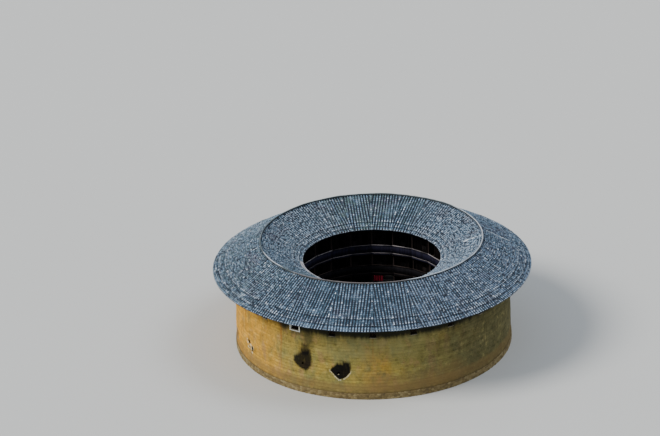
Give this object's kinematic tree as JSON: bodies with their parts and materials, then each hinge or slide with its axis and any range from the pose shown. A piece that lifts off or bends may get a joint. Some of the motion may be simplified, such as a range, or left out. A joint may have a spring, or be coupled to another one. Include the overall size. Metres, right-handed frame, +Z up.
{
  "type": "tulou roundhouse",
  "caption": "Ring-shaped rammed-earth house of several storeys round an open courtyard, with timber galleries and a tiled gable roof bent into a ring.",
  "frame": {"origin": "centre of the courtyard at ground level", "axes": "+Z up, +Y towards the gate, +X to the right when looking along +Y"},
  "size_m": [36, 35.9592, 12.46],
  "materials": {
    "rammed_earth": "matt rammed earth, stained",
    "footing_stone": "rough river stone",
    "gate_stone": "dressed granite",
    "paving_stone": "worn cobbles",
    "lime_mortar": "weathered lime",
    "roof_tile": "matt grey clay tile",
    "old_timber": "dark old timber",
    "weathered_timber": "bleached old timber",
    "lantern_cloth": "red cloth"
  },
  "bodies": {
    "root": {"earth_wall_1": "rammed_earth", "earth_wall_2": "rammed_earth", "earth_wall_3": "rammed_earth", "earth_wall_4": "rammed_earth", "earth_wall_5": "rammed_earth", "earth_wall_6": "rammed_earth", "earth_wall_7": "rammed_earth", "earth_wall_8": "rammed_earth", "earth_wall_9": "rammed_earth", "earth_wall_10": "rammed_earth", "earth_wall_11": "rammed_earth", "earth_wall_12": "rammed_earth", "earth_wall_13": "rammed_earth", "earth_wall_14": "rammed_earth", "outer_roof_front_left": "roof_tile", "outer_roof_front_right": "roof_tile", "outer_roof_back_left": "roof_tile", "outer_roof_back_right": "roof_tile", "gate_surround": "gate_stone", "gate_sill": "gate_stone", "gate_leaf_left": "old_timber", "gate_leaf_right": "old_timber", "courtyard_paving": "paving_stone", "ground_floor": "footing_stone", "second_floor": "old_timber", "third_floor": "old_timber", "ground_posts": "old_timber", "second_floor_posts": "old_timber", "third_floor_posts": "old_timber", "second_floor_balustrade": "weathered_timber", "third_floor_balustrade": "weathered_timber", "ground_room_front_left": "old_timber", "ground_room_front_right": "old_timber", "second_floor_room_front_left": "old_timber", "second_floor_room_front_right": "old_timber", "third_floor_room_front_left": "old_timber", "third_floor_room_front_right": "old_timber", "inner_roof_left": "roof_tile", "stone_footing_left": "footing_stone", "eave_frame_left": "old_timber", "inner_roof_right": "roof_tile", "stone_footing_right": "footing_stone", "eave_frame_right": "old_timber", "ridge_cap": "lime_mortar", "lantern_row": "lantern_cloth"}
  },
  "joints": []
}
